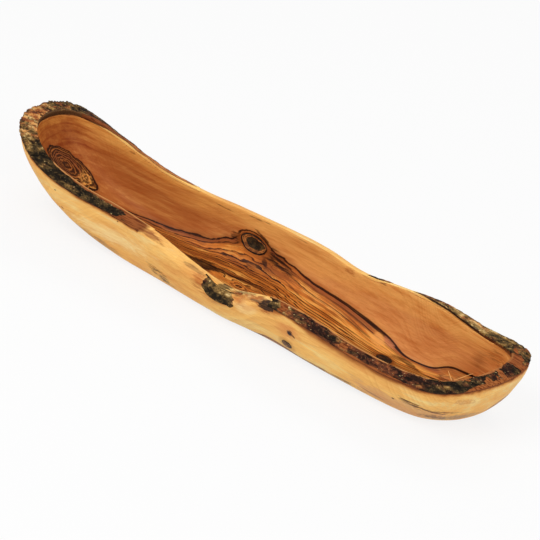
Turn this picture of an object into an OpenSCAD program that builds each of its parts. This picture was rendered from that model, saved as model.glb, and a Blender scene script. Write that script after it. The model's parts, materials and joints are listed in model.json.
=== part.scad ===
// Long dough bowl carved from one branch, with the natural bark edge left on its rim.
// X runs from the left tip to the right tip, Y from front to back, Z up from the flat foot.

/* [Bowl] */
// Length from tip to tip
bowl_length = 450; // [350:5:600]
// Nominal width across the middle
bowl_width = 90; // [75:1:120]
// Height of the left tip, bark included
bowl_height = 72; // [60:1:90]
// How square the ends are in plan: 2 is an ellipse, more is blunter
end_bluntness = 7.5; // [4:0.5:9]

/* [Walls] */
// Rim thickness along the front, in plan
wall_front = 7; // [6:0.5:10]
// Rim thickness along the back, in plan
wall_back = 9; // [7:0.5:12]
// Rim thickness at the left tip
wall_left = 15; // [10:0.5:18]
// Rim thickness at the right tip
wall_right = 13; // [10:0.5:18]
// How far the natural edge falls outward along the front
edge_fall_front = 4.6; // [3:0.2:7]
// How far the natural edge falls outward along the back
edge_fall_back = 3.2; // [2:0.2:6]
// How far the natural edge falls outward at the tips
edge_fall_tip = 1.5; // [0.5:0.1:3]
// Rise of the natural edge in the middle of its width
edge_arch = 0.6; // [0.2:0.1:1.2]

/* [Foot] */
// Reach of the flat foot towards the left tip
foot_left = 112; // [90:2:130]
// Reach of the flat foot towards the right tip
foot_right = 190; // [150:2:195]
// Width of the foot as a share of the bowl's width
foot_width_share = 0.62; // [0.5:0.02:0.7]

/* [Hollow] */
// Wood left under the hollow
floor_thickness = 9; // [7:0.5:14]
// Reach of the floor towards the left tip
floor_left = 96; // [80:2:110]
// Reach of the floor towards the right tip
floor_right = 168; // [130:2:175]
// Width of the flat floor as a share of the bowl's width
floor_width_share = 0.34; // [0.25:0.01:0.4]

/* [Bark] */
// Bark thickness at the left end
bark_left = 4; // [2:0.1:5]
// Bark thickness at the right end
bark_right = 3.4; // [2:0.1:5]
// Bark thickness along the front
bark_front = 3; // [2:0.1:4]
// Bark thickness along the back
bark_back = 2.4; // [2:0.1:4]
// Height of the bark's lumps as a share of its thickness
bark_lump_share = 0.22; // [0:0.01:0.3]

/* [Knots] */
// Radius of the large knot in the hollow's back wall
wall_knot_r = 8; // [5:0.5:9]
// Radius of the knot in the hollow's floor
floor_knot_r = 5; // [3:0.5:6]
// Radius of the upper knot on the front
upper_knot_r = 2.4; // [1.5:0.1:3]
// Radius of the lower knot on the front
lower_knot_r = 3.6; // [2:0.1:4]
// Depth of each knot in the wood
knot_depth = 4; // [2.5:0.5:5]
// How far a knot stands out of the wood
knot_proud = 0.4; // [0.2:0.1:0.8]
// Gap round a knot in its socket
knot_gap = 0.1; // [0.05:0.01:0.2]

/* [Hidden] */

// Angle 0 is the left tip, 90 the front's middle, 180 the right tip and 270 the back's middle.
columns = 120;
wall_rings = 10;
rim_rings = 4;
half_length = bowl_length / 2;
half_width = bowl_width / 2;

// Shares at 13 even stations from the left tip to the right tip. Widths are shares of half the
// width, heights are shares of the bowl's height, and falls are shares of edge_fall_front.
front_width_shares = [.98, .93, .86, .84, .92, 1, 1.05, 1.05, 1.06, 1.07, 1.1, 1.16, 1.2];
back_width_shares = [1.48, 1.14, .98, .91, .95, 1.01, 1.04, 1.03, .96, .9, .82, .8, .92];
centre_shares = [.11, .03, .02, .02, 0, -.01, 0, -.01, -.08, -.12, -.15, -.11, .25];
front_height_shares = [1, .82, .72, .69, .66, .57, .5, .62, .64, .58, .57, .62, .76];
back_height_shares = [1, .95, .845, .74, .7, .7, .69, .68, .665, .765, .87, .845, .76];
front_fall_shares = [1, 1, 1, 1, 1.2, 1.8, 2, 1.1, 1, 1, 1, 1, 1];

// How the walls curve up from the foot and the floor: a lower number gives a fuller wall
outer_reach = 0.9;
outer_reach_left = 1.3;
outer_rise = 1.22;
inner_reach = 0.8;
inner_reach_left = 0.98;
inner_rise = 0.95;
inner_rise_left = 1.35;

// Each plate of bark: first and last angle, first and last share of the rim's width from the
// outer edge, thickness, and the shares of that thickness at even steps along the plate
plate_left_end = [-24, 30, 0, 1, bark_left, [.7, 1, .85, 1, .7]];
plate_front_left = [30, 69, 0, 1, bark_left, [.7, .8, .75, .55, .2]];
plate_front_middle = [84, 93, 0, .75, bark_front, [.3, .8, 1, .8, .3]];
plate_front_right = [99, 147, 0, 1, bark_front, [.3, .9, .7, 1, .8]];
plate_right_end = [147, 204, 0, 1, bark_right, [.7, 1, .8, 1, .75]];
plate_back_right = [204, 237, 0, 1, bark_back, [1.06, 1, .8, .5]];
plate_back_nub = [243, 249, .25, 1, bark_back, [.3, .6, .3]];
plate_back_left = [291, 336, 0, 1, bark_back, [.25, .6, .8, 1.17]];
plates = [plate_left_end, plate_front_left, plate_front_middle, plate_front_right,
          plate_right_end, plate_back_right, plate_back_nub, plate_back_left];
// How far a plate's top is drawn in, as a share of its width and in degrees at its ends
plate_inset_share = 0.04;
plate_end_inset = 0.45;
// How often the bark's lumps repeat, along and across the rim
lump_along = [47, 31];
lump_across = [160, -250];

// Where the knots sit: angle round the bowl and share of the way up the wall, or on the floor
// the share of the way from front to back
wall_knot_place = [276, 0.62];
floor_knot_place = [136, 0.65];
upper_knot_place = [105.1, 0.73];
lower_knot_place = [105.2, 0.47];
knot_crown_share = 0.8;
knot_sides = 48;
socket_overrun = 2;
// Steps round and up the wall that find its slope at a knot
probe_angle = 0.5;
probe_share = 0.01;

heartwood = [0.42, 0.22, 0.09];
sapwood = [0.85, 0.62, 0.33];
bark_brown = [0.24, 0.19, 0.14];

// Blends two values or points
function mix(a, b, t) = a + (b - a) * t;

// Smooth curve through a table of even stations, at share t
function smooth(table, t) =
    let (last = len(table) - 1,
         s = min(max(t, 0), 1) * last,
         i = min(floor(s), last - 1),
         f = s - i,
         p0 = table[max(i - 1, 0)], p1 = table[i], p2 = table[i + 1], p3 = table[min(i + 2, last)])
    p1 + 0.5 * f * (p2 - p0 + f * (2 * p0 - 5 * p1 + 4 * p2 - p3 + f * (3 * (p1 - p2) + p3 - p0)));

// Plan of a ring at angle a: its reach to each tip, its share of the width and its inset
function plan(a, left, right, share = 1, inset_front = 0, inset_back = 0) =
    let (c = -cos(a),
         x = c < 0 ? c * left : c * right,
         t = (x / half_length + 1) / 2,
         front = smooth(front_width_shares, t) * half_width * share - inset_front,
         back = smooth(back_width_shares, t) * half_width * share - inset_back,
         side = sin(a) > 0 ? -front : back)
    [x, smooth(centre_shares, t) * half_width + side * sqrt(1 - pow(abs(c), end_bluntness))];

// Height of the rim's inner edge, bark included
function crest(a) =
    let (t = (1 - cos(a)) / 2,
         back = 0.5 - 0.5 * sign(sin(a)) * sqrt(abs(sin(a))))
    bowl_height * mix(smooth(front_height_shares, t), smooth(back_height_shares, t), back);

// How far the rim's outer edge lies below its inner edge
function edge_fall(a) =
    let (t = (1 - cos(a)) / 2,
         side = sin(a) > 0 ? edge_fall_front * smooth(front_fall_shares, t) : edge_fall_back)
    mix(edge_fall_tip, side, abs(sin(a)));

function outer_edge(a) = concat(plan(a, half_length, half_length), crest(a) - edge_fall(a));
function inner_edge(a) =
    concat(plan(a, half_length - wall_left, half_length - wall_right, 1, wall_front, wall_back), crest(a));

// The branch's own surface across the rim, w from 0 at the outer edge to 1 at the inner edge
function natural_edge(a, w) =
    mix(outer_edge(a), inner_edge(a), w) + [0, 0, edge_arch * 4 * w * (1 - w)];

// Thickness of one plate of bark at an angle and share of the rim, or 0 outside it
function plate_thickness(plate, a, w) =
    let (turn = a < plate[0] ? a + 360 : a > plate[1] ? a - 360 : a,
         t = (turn - plate[0]) / (plate[1] - plate[0]))
    t < 0 || t > 1 || w < plate[2] || w > plate[3] ? 0 : plate[4] * smooth(plate[5], t);
function bark_depth(a, w) = max([for (plate = plates) plate_thickness(plate, a, w)]);

// The wood under the bark, across the rim
function rim_wood(a, w) = natural_edge(a, w) - [0, 0, bark_depth(a, w)];

// How far an angle is turned to the left tip, from 0 at the sides to 1
function left_share(a) = pow(max(cos(a), 0), 2);

// The outer wall, v from 0 at the foot to 1 at the rim
function outer_wall(a, v) =
    let (foot = plan(a, foot_left, foot_right, foot_width_share),
         top = rim_wood(a, 0),
         reach = pow(sin(90 * v), mix(outer_reach, outer_reach_left, left_share(a))),
         rise = 1 - pow(cos(90 * v), outer_rise))
    [mix(foot.x, top.x, reach), mix(foot.y, top.y, reach), top.z * rise];

// The hollow's wall, v from 0 at the floor to 1 at the rim
function inner_wall(a, v) =
    let (base = plan(a, floor_left, floor_right, floor_width_share),
         top = rim_wood(a, 1),
         reach = pow(sin(90 * v), mix(inner_reach, inner_reach_left, left_share(a))),
         rise = 1 - pow(cos(90 * v), mix(inner_rise, inner_rise_left, left_share(a))))
    [mix(base.x, top.x, reach), mix(base.y, top.y, reach), mix(floor_thickness, top.z, rise)];

// Triangles between neighbouring rows of a grid with n points a row
function grid_faces(rows, n, wrap, first = 0) =
    [for (r = [0 : rows - 2], i = [0 : wrap ? n - 1 : n - 2])
        let (j = (i + 1) % n, a = first + r * n + i, b = first + r * n + j)
        each [[a, b, b + n], [a, b + n, a + n]]];

// Closes a ring of n points across its long middle line
function cap_faces(n, first) =
    [for (i = [0 : n / 2 - 1])
        let (a = first + i, b = a + 1, c = first + (n - i) % n, d = first + n - i - 1)
        each [if (a != c) [a, c, b], if (b != d) [b, c, d]]];

function turned(faces) = [for (f = faces) [f[2], f[1], f[0]]];

module carved_form() {
    angles = [for (i = [0 : columns - 1]) i * 360 / columns];
    rings = concat(
        [for (k = [0 : wall_rings]) [for (a = angles) outer_wall(a, k / wall_rings)]],
        [for (k = [1 : rim_rings - 1]) [for (a = angles) rim_wood(a, k / rim_rings)]],
        [for (k = [wall_rings : -1 : 0]) [for (a = angles) inner_wall(a, k / wall_rings)]]);
    last = (len(rings) - 1) * columns;
    polyhedron([for (ring = rings) each ring],
               concat(turned(grid_faces(len(rings), columns, true)),
                      cap_faces(columns, 0),
                      turned(cap_faces(columns, last))));
}

// A plate of bark, from the wood's rim up to its own lumpy top
module bark_plate(plate) {
    step = 360 / columns;
    along = round((plate[1] - plate[0]) / step);
    across = round((plate[3] - plate[2]) * rim_rings);
    n = along + 1;
    under = [for (k = [0 : across]) for (i = [0 : along])
        rim_wood(plate[0] + i * step, plate[2] + k / rim_rings)];
    over = [for (k = [0 : across]) for (i = [0 : along])
        let (a = mix(plate[0] + plate_end_inset, plate[1] - plate_end_inset, i / along),
             w = mix(plate[2], plate[3], mix(plate_inset_share, 1 - plate_inset_share, k / across)),
             lump = sin(a * lump_along[0] + w * lump_across[0])
                  * sin(a * lump_along[1] + w * lump_across[1]))
        natural_edge(a, w)
            + [0, 0, bark_lump_share * lump * plate_thickness(plate, a, (plate[2] + plate[3]) / 2)]];
    count = n * (across + 1);
    ends = [for (k = [0 : across - 1]) each
        let (a = k * n, b = a + along)
        [[a, a + n, a + n + count], [a, a + n + count, a + count],
         [b + n, b, b + count], [b + n, b + count, b + n + count]]];
    sides = [for (i = [0 : along - 1]) each
        let (b = across * n + i)
        [[i + 1, i, i + count], [i + 1, i + count, i + 1 + count],
         [b, b + 1, b + 1 + count], [b, b + 1 + count, b + count]]];
    color(bark_brown)
        polyhedron(concat(under, over),
                   concat(grid_faces(across + 1, n, false),
                          turned(grid_faces(across + 1, n, false, count)),
                          ends, sides));
}

// Moves a shape so that its Z axis stands out of the wall at point p, between two probe points
module stand_on(p, along, up) {
    normal = cross(along - p, up - p);
    n = normal / norm(normal);
    translate(p) rotate([0, acos(n.z), atan2(n.y, n.x)]) children();
}

module on_hollow_wall(place) {
    a = place[0];
    v = place[1];
    stand_on(inner_wall(a, v), inner_wall(a, v + probe_share), inner_wall(a + probe_angle, v))
        children();
}

module on_floor(place) {
    front = plan(place[0], floor_left, floor_right, floor_width_share);
    back = plan(-place[0], floor_left, floor_right, floor_width_share);
    translate(concat(mix(front, back, place[1]), floor_thickness)) children();
}

module on_outside(place) {
    a = place[0];
    v = place[1];
    stand_on(outer_wall(a, v), outer_wall(a + probe_angle, v), outer_wall(a, v + probe_share))
        children();
}

module knot_socket(r) {
    translate([0, 0, -knot_depth])
        cylinder(r = r + knot_gap, h = knot_depth + socket_overrun, $fn = knot_sides);
}

module knot_plug(r) {
    color(heartwood) {
        translate([0, 0, -knot_depth]) cylinder(r = r, h = knot_depth, $fn = knot_sides);
        cylinder(r1 = r, r2 = r * knot_crown_share, h = knot_proud, $fn = knot_sides);
    }
}

module bowl_body() {
    color(sapwood) difference() {
        carved_form();
        on_hollow_wall(wall_knot_place) knot_socket(wall_knot_r);
        on_floor(floor_knot_place) knot_socket(floor_knot_r);
        on_outside(upper_knot_place) knot_socket(upper_knot_r);
        on_outside(lower_knot_place) knot_socket(lower_knot_r);
    }
}

bowl_body();
bark_plate(plate_left_end);  // bark_left_end
bark_plate(plate_front_left);  // bark_front_left
bark_plate(plate_front_middle);  // bark_front_middle
bark_plate(plate_front_right);  // bark_front_right
bark_plate(plate_right_end);  // bark_right_end
bark_plate(plate_back_right);  // bark_back_right
bark_plate(plate_back_nub);  // bark_back_nub
bark_plate(plate_back_left);  // bark_back_left
on_hollow_wall(wall_knot_place) knot_plug(wall_knot_r);  // wall_knot
on_floor(floor_knot_place) knot_plug(floor_knot_r);  // floor_knot
on_outside(upper_knot_place) knot_plug(upper_knot_r);  // front_knot_upper
on_outside(lower_knot_place) knot_plug(lower_knot_r);  // front_knot_lower
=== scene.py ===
import json
import math

import bmesh
import bpy
import numpy as np
from mathutils import Matrix, Vector

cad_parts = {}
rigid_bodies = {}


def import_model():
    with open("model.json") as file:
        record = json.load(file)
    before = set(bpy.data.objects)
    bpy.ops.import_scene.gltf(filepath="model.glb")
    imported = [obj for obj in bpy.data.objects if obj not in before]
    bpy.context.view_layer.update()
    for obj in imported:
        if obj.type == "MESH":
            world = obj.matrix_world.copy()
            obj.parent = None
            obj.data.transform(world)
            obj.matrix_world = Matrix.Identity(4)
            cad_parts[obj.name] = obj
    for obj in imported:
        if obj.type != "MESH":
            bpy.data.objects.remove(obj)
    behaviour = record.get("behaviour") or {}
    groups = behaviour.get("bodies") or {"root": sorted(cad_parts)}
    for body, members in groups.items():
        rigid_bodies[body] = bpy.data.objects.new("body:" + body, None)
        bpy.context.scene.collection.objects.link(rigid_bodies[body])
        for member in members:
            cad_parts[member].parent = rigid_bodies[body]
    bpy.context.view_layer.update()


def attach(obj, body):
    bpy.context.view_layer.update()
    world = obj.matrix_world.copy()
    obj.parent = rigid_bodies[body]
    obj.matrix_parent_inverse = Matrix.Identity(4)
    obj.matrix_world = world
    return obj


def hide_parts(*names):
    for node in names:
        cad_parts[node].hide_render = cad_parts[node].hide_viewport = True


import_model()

mm = 0.001
scene = bpy.context.scene
print("dough bowl: solids loaded")


# noise fields, sampled at points in millimetres

chance = np.random.default_rng(41)
shuffled = chance.permutation(256)
slopes = chance.normal(size=(256, 3))
slopes /= np.linalg.norm(slopes, axis=1)[:, None]


def hashed(cell):
    return shuffled[(shuffled[(shuffled[cell[..., 0] & 255] + cell[..., 1]) & 255] + cell[..., 2]) & 255]


def waves(points, size):
    # smooth noise between about -1 and 1, with hills about as wide as size
    p = points / np.asarray(size, float)
    cell = np.floor(p).astype(int)
    f = p - cell
    fade = f * f * f * (f * (f * 6 - 15) + 10)
    total = 0
    for corner in np.ndindex(2, 2, 2):
        near = (slopes[hashed(cell + corner)] * (f - corner)).sum(-1)
        total = total + near * np.where(corner, fade, 1 - fade).prod(-1)
    return total * 1.6


def ridges(points, size):
    return 1 - 2 * np.abs(waves(points, size))


def smoothStep(low, high, value):
    t = np.clip((value - low) / (high - low), 0, 1)
    return t * t * (3 - 2 * t)


def mix(a, b, t):
    return a + (b - a) * t


def alongTable(table, t):
    # smooth curve through even stations, as the solids have it
    table = np.asarray(table, float)
    last = len(table) - 1
    s = np.clip(t, 0, 1) * last
    i = np.minimum(np.floor(s).astype(int), last - 1)
    f = s - i
    p0, p1, p2, p3 = table[np.maximum(i - 1, 0)], table[i], table[i + 1], table[np.minimum(i + 2, last)]
    return p1 + 0.5 * f * (p2 - p0 + f * (2 * p0 - 5 * p1 + 4 * p2 - p3 + f * (3 * (p1 - p2) + p3 - p0)))


def sine(a):
    return np.sin(np.radians(a))


def cosine(a):
    return np.cos(np.radians(a))


# the bowl's form in millimetres: angle 0 is the left tip, 90 the front, 180 the right tip, 270 the back

bowl = dict(
    length=450, width=90, height=72, bluntness=7.5,
    wallFront=7, wallBack=9, wallLeft=15, wallRight=13,
    fallFront=4.6, fallBack=3.2, fallTip=1.5, arch=0.6,
    footLeft=112, footRight=190, footWidth=0.62,
    floor=9, floorLeft=96, floorRight=168, floorWidth=0.34,
    frontWidths=[.98, .93, .86, .84, .92, 1, 1.05, 1.05, 1.06, 1.07, 1.1, 1.16, 1.2],
    backWidths=[1.48, 1.14, .98, .91, .95, 1.01, 1.04, 1.03, .96, .9, .82, .8, .92],
    centres=[.11, .03, .02, .02, 0, -.01, 0, -.01, -.08, -.12, -.15, -.11, .25],
    frontHeights=[1, .82, .72, .69, .66, .57, .5, .62, .64, .58, .57, .62, .76],
    backHeights=[1, .95, .845, .74, .7, .7, .69, .68, .665, .765, .87, .845, .76],
    frontFalls=[1, 1, 1, 1, 1.2, 1.8, 2, 1.1, 1, 1, 1, 1, 1],
    outerReach=0.9, outerReachLeft=1.3, outerRise=1.22,
    innerReach=0.8, innerReachLeft=0.98, innerRise=0.95, innerRiseLeft=1.35,
)

# first and last angle, thickness, its shares at even steps, and whether each end lies free
barkPlates = dict(
    bark_left_end=[-24, 30, 4, [.7, 1, .85, 1, .7], False, False],
    bark_front_left=[30, 69, 4, [.7, .8, .75, .55, .2], False, True],
    bark_front_middle=[84, 93, 3, [.3, .8, 1, .8, .3], True, True],
    bark_front_right=[99, 147, 3, [.3, .9, .7, 1, .8], True, False],
    bark_right_end=[147, 204, 3.4, [.7, 1, .8, 1, .75], False, False],
    bark_back_right=[204, 237, 2.4, [1.06, 1, .8, .5], False, True],
    bark_back_nub=[243, 249, 2.4, [.3, .6, .3], True, True],
    bark_back_left=[291, 336, 2.4, [.25, .6, .8, 1.17], True, False],
)


def planAt(a, left, right, share=1, insetFront=0, insetBack=0):
    c = -cosine(a)
    x = np.where(c < 0, c * left, c * right)
    t = (x / (bowl["length"] / 2) + 1) / 2
    half = bowl["width"] / 2
    front = alongTable(bowl["frontWidths"], t) * half * share - insetFront
    back = alongTable(bowl["backWidths"], t) * half * share - insetBack
    side = np.where(sine(a) > 0, -front, back)
    y = alongTable(bowl["centres"], t) * half
    return np.stack([x, y + side * np.sqrt(np.maximum(1 - np.abs(c) ** bowl["bluntness"], 0))], -1)


def crestAt(a):
    t = (1 - cosine(a)) / 2
    back = 0.5 - 0.5 * np.sign(sine(a)) * np.sqrt(np.abs(sine(a)))
    heights = mix(alongTable(bowl["frontHeights"], t), alongTable(bowl["backHeights"], t), back)
    return bowl["height"] * heights


def edgeFall(a):
    t = (1 - cosine(a)) / 2
    side = np.where(sine(a) > 0, bowl["fallFront"] * alongTable(bowl["frontFalls"], t), bowl["fallBack"])
    return mix(bowl["fallTip"], side, np.abs(sine(a)))


def withHeight(flat, z):
    return np.concatenate([flat, z[..., None]], -1)


def naturalEdge(a, w):
    # the branch's own surface across the rim, w from 0 outside to 1 inside
    half = bowl["length"] / 2
    outer = withHeight(planAt(a, half, half), crestAt(a) - edgeFall(a))
    inner = withHeight(planAt(a, half - bowl["wallLeft"], half - bowl["wallRight"], 1,
                              bowl["wallFront"], bowl["wallBack"]), crestAt(a))
    edge = mix(outer, inner, w[..., None])
    edge[..., 2] += bowl["arch"] * 4 * w * (1 - w)
    return edge


def turnTo(a, first, last):
    return np.where(a < first - 40, a + 360, np.where(a > last + 40, a - 360, a))


def plateDepth(name, a):
    # thickness of one plate at an angle, drawn out softly where its end lies free
    first, last, thickness, shares, freeStart, freeEnd = barkPlates[name]
    turn = turnTo(a, first, last)
    depth = thickness * alongTable(shares, (turn - first) / (last - first))
    run = 2.2 if last - first < 20 else 4
    start = smoothStep(first - 0.6, first + run, turn) if freeStart else (turn >= first) * 1.0
    end = smoothStep(last + 0.6, last - run, turn) if freeEnd else (turn < last) * 1.0
    return depth * start * end


def barkDepth(a):
    return np.max([plateDepth(name, a) for name in barkPlates], axis=0)


def rimWood(a, w):
    edge = naturalEdge(a, w)
    cover = barkDepth(a)
    nub = plateDepth("bark_back_nub", a)
    cover = np.where(nub > 0, cover * smoothStep(0.1, 0.35, w), cover)
    patch = plateDepth("bark_front_middle", a)
    cover = np.where(patch > 0, cover * smoothStep(0.9, 0.68, w), cover)
    edge[..., 2] -= cover
    return edge


def leftShare(a):
    return np.maximum(cosine(a), 0) ** 2


def outerWall(a, v):
    foot = planAt(a, bowl["footLeft"], bowl["footRight"], bowl["footWidth"])
    top = rimWood(a, 0 * a)
    reach = sine(90 * v) ** mix(bowl["outerReach"], bowl["outerReachLeft"], leftShare(a))
    rise = 1 - cosine(90 * v) ** bowl["outerRise"]
    return withHeight(mix(foot, top[..., :2], reach[..., None]), top[..., 2] * rise)


def innerWall(a, v):
    base = planAt(a, bowl["floorLeft"], bowl["floorRight"], bowl["floorWidth"])
    top = rimWood(a, 0 * a + 1)
    reach = sine(90 * v) ** mix(bowl["innerReach"], bowl["innerReachLeft"], leftShare(a))
    rise = 1 - np.maximum(cosine(90 * v), 0) ** mix(bowl["innerRise"], bowl["innerRiseLeft"], leftShare(a))
    return withHeight(mix(base, top[..., :2], reach[..., None]), mix(bowl["floor"], top[..., 2], rise))


def alongRim(first, last, count):
    # angles along the rim and the millimetres run at each
    angles = np.linspace(first, last, count)
    line = naturalEdge(angles, 0 * angles + 0.5)
    return angles, np.r_[0, np.cumsum(np.linalg.norm(np.diff(line, axis=0), axis=1))]


# the figure of the wood: growth rings counted from the pith, 10 of them in the dark heartwood

figure = dict(
    pithPlace=[0, 1, 1, 0, 0, -1, -2, -3, -4, -6, -8, -5, 2],
    pithHeight=[14, 13, 12, 12, 12, 12, 12, 12, 11, 10, 9, 14, 20],
    heartBack=[6, 8, 12, 20.5, 25.3, 35.3, 39.8, 35.4, 30.8, 24.9, 18.4, 19, 6],
    heartFront=[8, 10, 16, 24, 28, 30, 33, 37, 38.3, 38, 31, 18, 8],
    # where it lies nearer to or farther from the pith than those: x, by how much, over what length
    bends=[(131, -2.1, 13), (168, 2.1, 9), (-56, -1.2, 10)],
    heartRings=10,
    # drawn in round the wall knot: by how many mm, over what area
    lift=3, liftArea=250,
)
# the bowl's knots: place, radius, how drawn out and tilted, and how far round each the rings bend
knots = dict(
    wall_knot=dict(angle=276, share=0.62, radius=8, long=1.42, short=0.84, tilt=13, spread=8, ring=1),
    floor_knot=dict(angle=136, share=0.65, radius=5, long=1.2, short=0.9, tilt=0, spread=4, ring=0.8),
    front_knot_upper=dict(angle=105.1, share=0.73, radius=2.4, long=1.1, short=1, tilt=25, spread=2,
                          ring=0.1),
    front_knot_lower=dict(angle=105.2, share=0.47, radius=3.6, long=1.22, short=0.92, tilt=15, spread=2,
                          ring=0.6),
)
# the almond of heartwood that the left end cuts across
almond = dict(middle=(-177, 7, 35.5), along=(40, 12, -25), across=(6, 14, 17), reach=(27, 11.8, 16))


def unit(v):
    v = np.asarray(v, float)
    return v / np.maximum(np.linalg.norm(v, axis=-1, keepdims=True), 1e-9)


def knotFrame(name):
    # a knot's middle, the way it faces, and the direction along the wall
    knot = knots[name]
    a = np.array([knot["angle"]], float)
    if name == "floor_knot":
        front = planAt(a, bowl["floorLeft"], bowl["floorRight"], bowl["floorWidth"])
        back = planAt(-a, bowl["floorLeft"], bowl["floorRight"], bowl["floorWidth"])
        middle = withHeight(mix(front, back, knot["share"]), 0 * a + bowl["floor"])[0]
        return middle, np.array([0.0, 0, 1]), np.array([1.0, 0, 0])
    wall = innerWall if name == "wall_knot" else outerWall
    v = np.array([knot["share"]])
    p, along, up = wall(a, v)[0], wall(a + 0.5, v)[0], wall(a, v + 0.01)[0]
    facing = unit(np.cross(along - p, up - p))
    inward = -1 if name == "wall_knot" else 1
    if facing[1] * p[1] * inward < 0:
        facing = -facing
    return p, facing, unit(along - p) * (1 if along[0] > p[0] else -1)


def knotAxes(name):
    # its middle, the way it faces, and the directions of its length and its width
    knot = knots[name]
    middle, facing, along = knotFrame(name)
    side = np.cross(facing, along)
    tilt = knot["tilt"] if side[2] < 0 else -knot["tilt"]
    length = along * cosine(tilt) + side * sine(tilt)
    return middle, facing, length, side * cosine(tilt) - along * sine(tilt)


def knotFar(name, points):
    # millimetres from a knot's middle, counted so that its outline lies at its radius
    knot = knots[name]
    middle, facing, along, side = knotAxes(name)
    away = points - middle
    flat = (away @ along / knot["long"]) ** 2 + (away @ side / knot["short"]) ** 2
    return np.sqrt(flat + (away @ facing) ** 2)


def bentRound(points):
    # the rings pass round each knot, crowded beside it
    for name, knot in knots.items():
        away = points - knotFrame(name)[0]
        far = knotFar(name, points) ** 2 + 0.01
        ring = knot["radius"] ** 2
        pull = ring * np.exp(-np.maximum(far - ring, 0) / (2 * knot["spread"] ** 2))
        points = points - away * (1 - np.sqrt(np.maximum(far - pull, 0) / far))[..., None]
    return points


def ringsAt(points):
    points = bentRound(points)
    x, y, z = points[..., 0], points[..., 1], points[..., 2]
    t = (x / (bowl["length"] / 2) + 1) / 2
    dy = y - alongTable(figure["pithPlace"], t)
    dz = z - alongTable(figure["pithHeight"], t)
    r = np.sqrt(dy * dy + dz * dz + 2)
    lifted = ((points - knotFrame("wall_knot")[0]) ** 2).sum(-1)
    r = r - figure["lift"] * np.exp(-lifted / figure["liftArea"])
    back = smoothStep(-0.7, 0.7, dy / (r + 1))
    farBack = alongTable(figure["heartBack"], t)
    for at, change, run in figure["bends"]:
        farBack = farBack + change * np.exp(-((x - at) / run) ** 2)
    heart = mix(alongTable(figure["heartFront"], t), farBack, back)
    # to the right the inner rings gather towards the knot in the floor
    gather = mix(1, 0.42, smoothStep(42, 112, x)) + 0.35 * smoothStep(122, 155, x)
    edge = figure["heartRings"]
    level = edge * (r / heart) ** gather
    perRing = heart / edge / gather * (r / heart) ** (1 - gather)
    # the almond, pointed at its lower end, and a narrow join between the two sets of rings
    along = unit(almond["along"])
    deep = unit(np.cross(along, almond["across"]))
    across = np.cross(deep, along)
    q = points - np.array(almond["middle"], float)
    reach = almond["reach"]

    def almondShare(q):
        end = q @ along / reach[0]
        taper = 1 - 0.45 * np.clip(end, 0, 1)
        return np.sqrt(end ** 2 + (q @ across / reach[1] / taper) ** 2 + (q @ deep / reach[2]) ** 2)

    # its inner lines lie towards its upper end
    share = almondShare(q)
    share = almondShare(q + along * (8 * np.clip(1 - share, 0, 1))[..., None])
    share = share + 0.06 * waves(points + 70, (12, 9, 9)) + 0.05 * waves(points + 7, (5, 4, 4))
    own = edge * (1 + 0.55 * (share - 1))
    own = np.where(own > edge, own + (own - edge) * 0.8, own)
    blend = np.clip(0.5 + 0.5 * (level - own) / 1.2, 0, 1)
    level = mix(level, own, blend) - 1.2 * blend * (1 - blend)
    perRing = mix(perRing, 2.2, blend)
    share = np.where(blend > 0.5, share, 3)
    # inside they wander more than at their outermost line
    stray = 0.4 * waves(points, (70, 20, 20)) + 0.25 * waves(points + 50, (30, 10, 10))
    stray = stray * mix(1, 0.25, smoothStep(0, 40, x))
    level = level + stray * smoothStep(0, 2.5, np.abs(level - edge))
    # the lines ripple in the left half, curl on its floor, and run smoothly in the right
    level = level + mix(0.36, 0.02, smoothStep(-10, 50, x)) * waves(points + 90, (11, 5, 5))
    curls = np.exp(-((x + 5) / 28) ** 2 - ((y - 3) / 7) ** 2) + 0.8 * np.exp(-((x - 168) / 16) ** 2)
    level = level + 0.8 * curls * waves(points + 17, (10, 5, 5)) * smoothStep(edge, edge - 2, level)
    return dict(rings=level, fromEdge=(edge - level) * perRing, perRing=perRing, almond=share)


# mesh helpers

def newMesh(name, vertices, faces, attributes=None, smooth=True):
    mesh = bpy.data.meshes.new(name)
    mesh.from_pydata((np.asarray(vertices) * mm).tolist(), [], faces)
    mesh.update()
    if smooth:
        mesh.polygons.foreach_set("use_smooth", np.ones(len(mesh.polygons), bool))
    for key, values in (attributes or {}).items():
        mesh.attributes.new(key, "FLOAT", "POINT").data.foreach_set("value", np.asarray(values, np.float32))
    piece = bpy.data.objects.new(name, mesh)
    scene.collection.objects.link(piece)
    return piece


def gridFaces(rows, columns, wrap, first=0, turned=False):
    i = np.arange(columns if wrap else columns - 1)
    j = (i + 1) % columns
    r = np.arange(rows - 1)[:, None] * columns + first
    quads = np.stack(np.broadcast_arrays(r + i, r + j, r + columns + j, r + columns + i), -1).reshape(-1, 4)
    return (quads[:, ::-1] if turned else quads).tolist()


def closed(piece):
    # joins points that meet, drops faces of no area and turns all faces outwards
    work = bmesh.new()
    work.from_mesh(piece.data)
    bmesh.ops.remove_doubles(work, verts=work.verts, dist=0.002 * mm)
    bmesh.ops.dissolve_degenerate(work, edges=work.edges, dist=0.001 * mm)
    bmesh.ops.recalc_face_normals(work, faces=work.faces)
    loose = sum(not edge.is_manifold for edge in work.edges)
    if work.calc_volume(signed=True) < 0:
        bmesh.ops.reverse_faces(work, faces=work.faces)
    work.to_mesh(piece.data)
    work.free()
    print(piece.name, len(piece.data.polygons), "faces, open edges:", loose)


def pressed(piece, node):
    closed(piece)
    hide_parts(node)
    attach(piece, "root")


# the carved wood

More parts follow.
